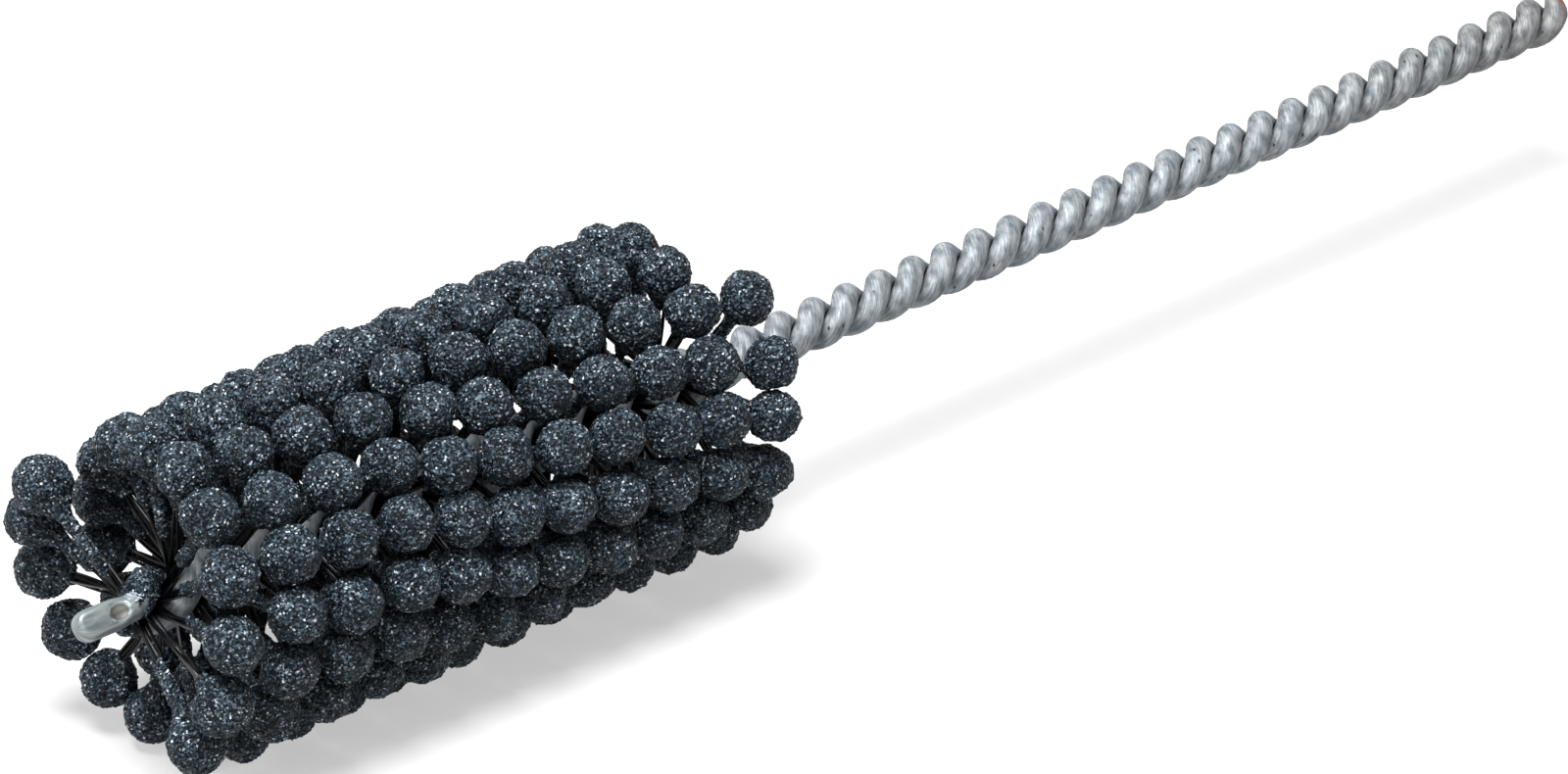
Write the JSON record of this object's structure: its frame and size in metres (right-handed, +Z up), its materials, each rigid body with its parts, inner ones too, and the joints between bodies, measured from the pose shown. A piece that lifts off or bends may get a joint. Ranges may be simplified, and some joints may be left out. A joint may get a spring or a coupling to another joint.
{
  "type": "ball hone",
  "caption": "Flexible ball hone for small cylinders: abrasive globules on nylon filament tufts pinched in a twisted two-wire stem.",
  "frame": {"origin": "centre of the stem's driven end, where the two wires are cut square", "axes": "+X along the stem from the tip of the brush to the driven end, +Z up as the hone lies in the picture"},
  "size_m": [0.203, 0.035, 0.035],
  "materials": {
    "zinc_coated_wire": "dull zinc-coated steel wire, scratched lengthwise",
    "black_nylon": "glossy black nylon filament",
    "abrasive": "dark silicon carbide grit in resin, with fine sparkle"
  },
  "bodies": {
    "stem": {"long_stem_wire": "zinc_coated_wire", "short_stem_wire": "zinc_coated_wire", "filament_tufts_01": "black_nylon", "filament_tufts_02": "black_nylon", "filament_tufts_03": "black_nylon", "filament_tufts_04": "black_nylon", "filament_tufts_05": "black_nylon", "filament_tufts_06": "black_nylon", "filament_tufts_07": "black_nylon", "filament_tufts_08": "black_nylon", "filament_tufts_09": "black_nylon", "filament_tufts_10": "black_nylon", "filament_tufts_11": "black_nylon", "filament_tufts_12": "black_nylon", "filament_tufts_13": "black_nylon", "filament_tufts_14": "black_nylon", "filament_tufts_15": "black_nylon", "filament_tufts_16": "black_nylon", "filament_tufts_17": "black_nylon", "filament_tufts_18": "black_nylon"},
    "globules": {"first_spiral_globules_01": "abrasive", "first_spiral_globules_02": "abrasive", "first_spiral_globules_03": "abrasive", "first_spiral_globules_04": "abrasive", "first_spiral_globules_05": "abrasive", "first_spiral_globules_06": "abrasive", "first_spiral_globules_07": "abrasive", "first_spiral_globules_08": "abrasive", "first_spiral_globules_09": "abrasive", "first_spiral_globules_10": "abrasive", "first_spiral_globules_11": "abrasive", "first_spiral_globules_12": "abrasive", "first_spiral_globules_13": "abrasive", "first_spiral_globules_14": "abrasive", "first_spiral_globules_15": "abrasive", "first_spiral_globules_16": "abrasive", "first_spiral_globules_17": "abrasive", "first_spiral_globules_18": "abrasive", "second_spiral_globules_01": "abrasive", "second_spiral_globules_02": "abrasive", "second_spiral_globules_03": "abrasive", "second_spiral_globules_04": "abrasive", "second_spiral_globules_05": "abrasive", "second_spiral_globules_06": "abrasive", "second_spiral_globules_07": "abrasive", "second_spiral_globules_08": "abrasive", "second_spiral_globules_09": "abrasive", "second_spiral_globules_10": "abrasive", "second_spiral_globules_11": "abrasive", "second_spiral_globules_12": "abrasive", "second_spiral_globules_13": "abrasive", "second_spiral_globules_14": "abrasive", "second_spiral_globules_15": "abrasive", "second_spiral_globules_16": "abrasive", "second_spiral_globules_17": "abrasive", "second_spiral_globules_18": "abrasive"}
  },
  "joints": [
    {"name": "globule_lag", "type": "hinge", "parent": "stem", "child": "globules", "pos_m": [-0.16, 0, 0], "axis": [1, 0, 0], "range_deg": [-12, 12], "stiffness_Nm_per_rad": 4, "deforming": ["filament_tufts_01", "filament_tufts_02", "filament_tufts_03", "filament_tufts_04", "filament_tufts_05", "filament_tufts_06", "filament_tufts_07", "filament_tufts_08", "filament_tufts_09", "filament_tufts_10", "filament_tufts_11", "filament_tufts_12", "filament_tufts_13", "filament_tufts_14", "filament_tufts_15", "filament_tufts_16", "filament_tufts_17", "filament_tufts_18"]}
  ]
}
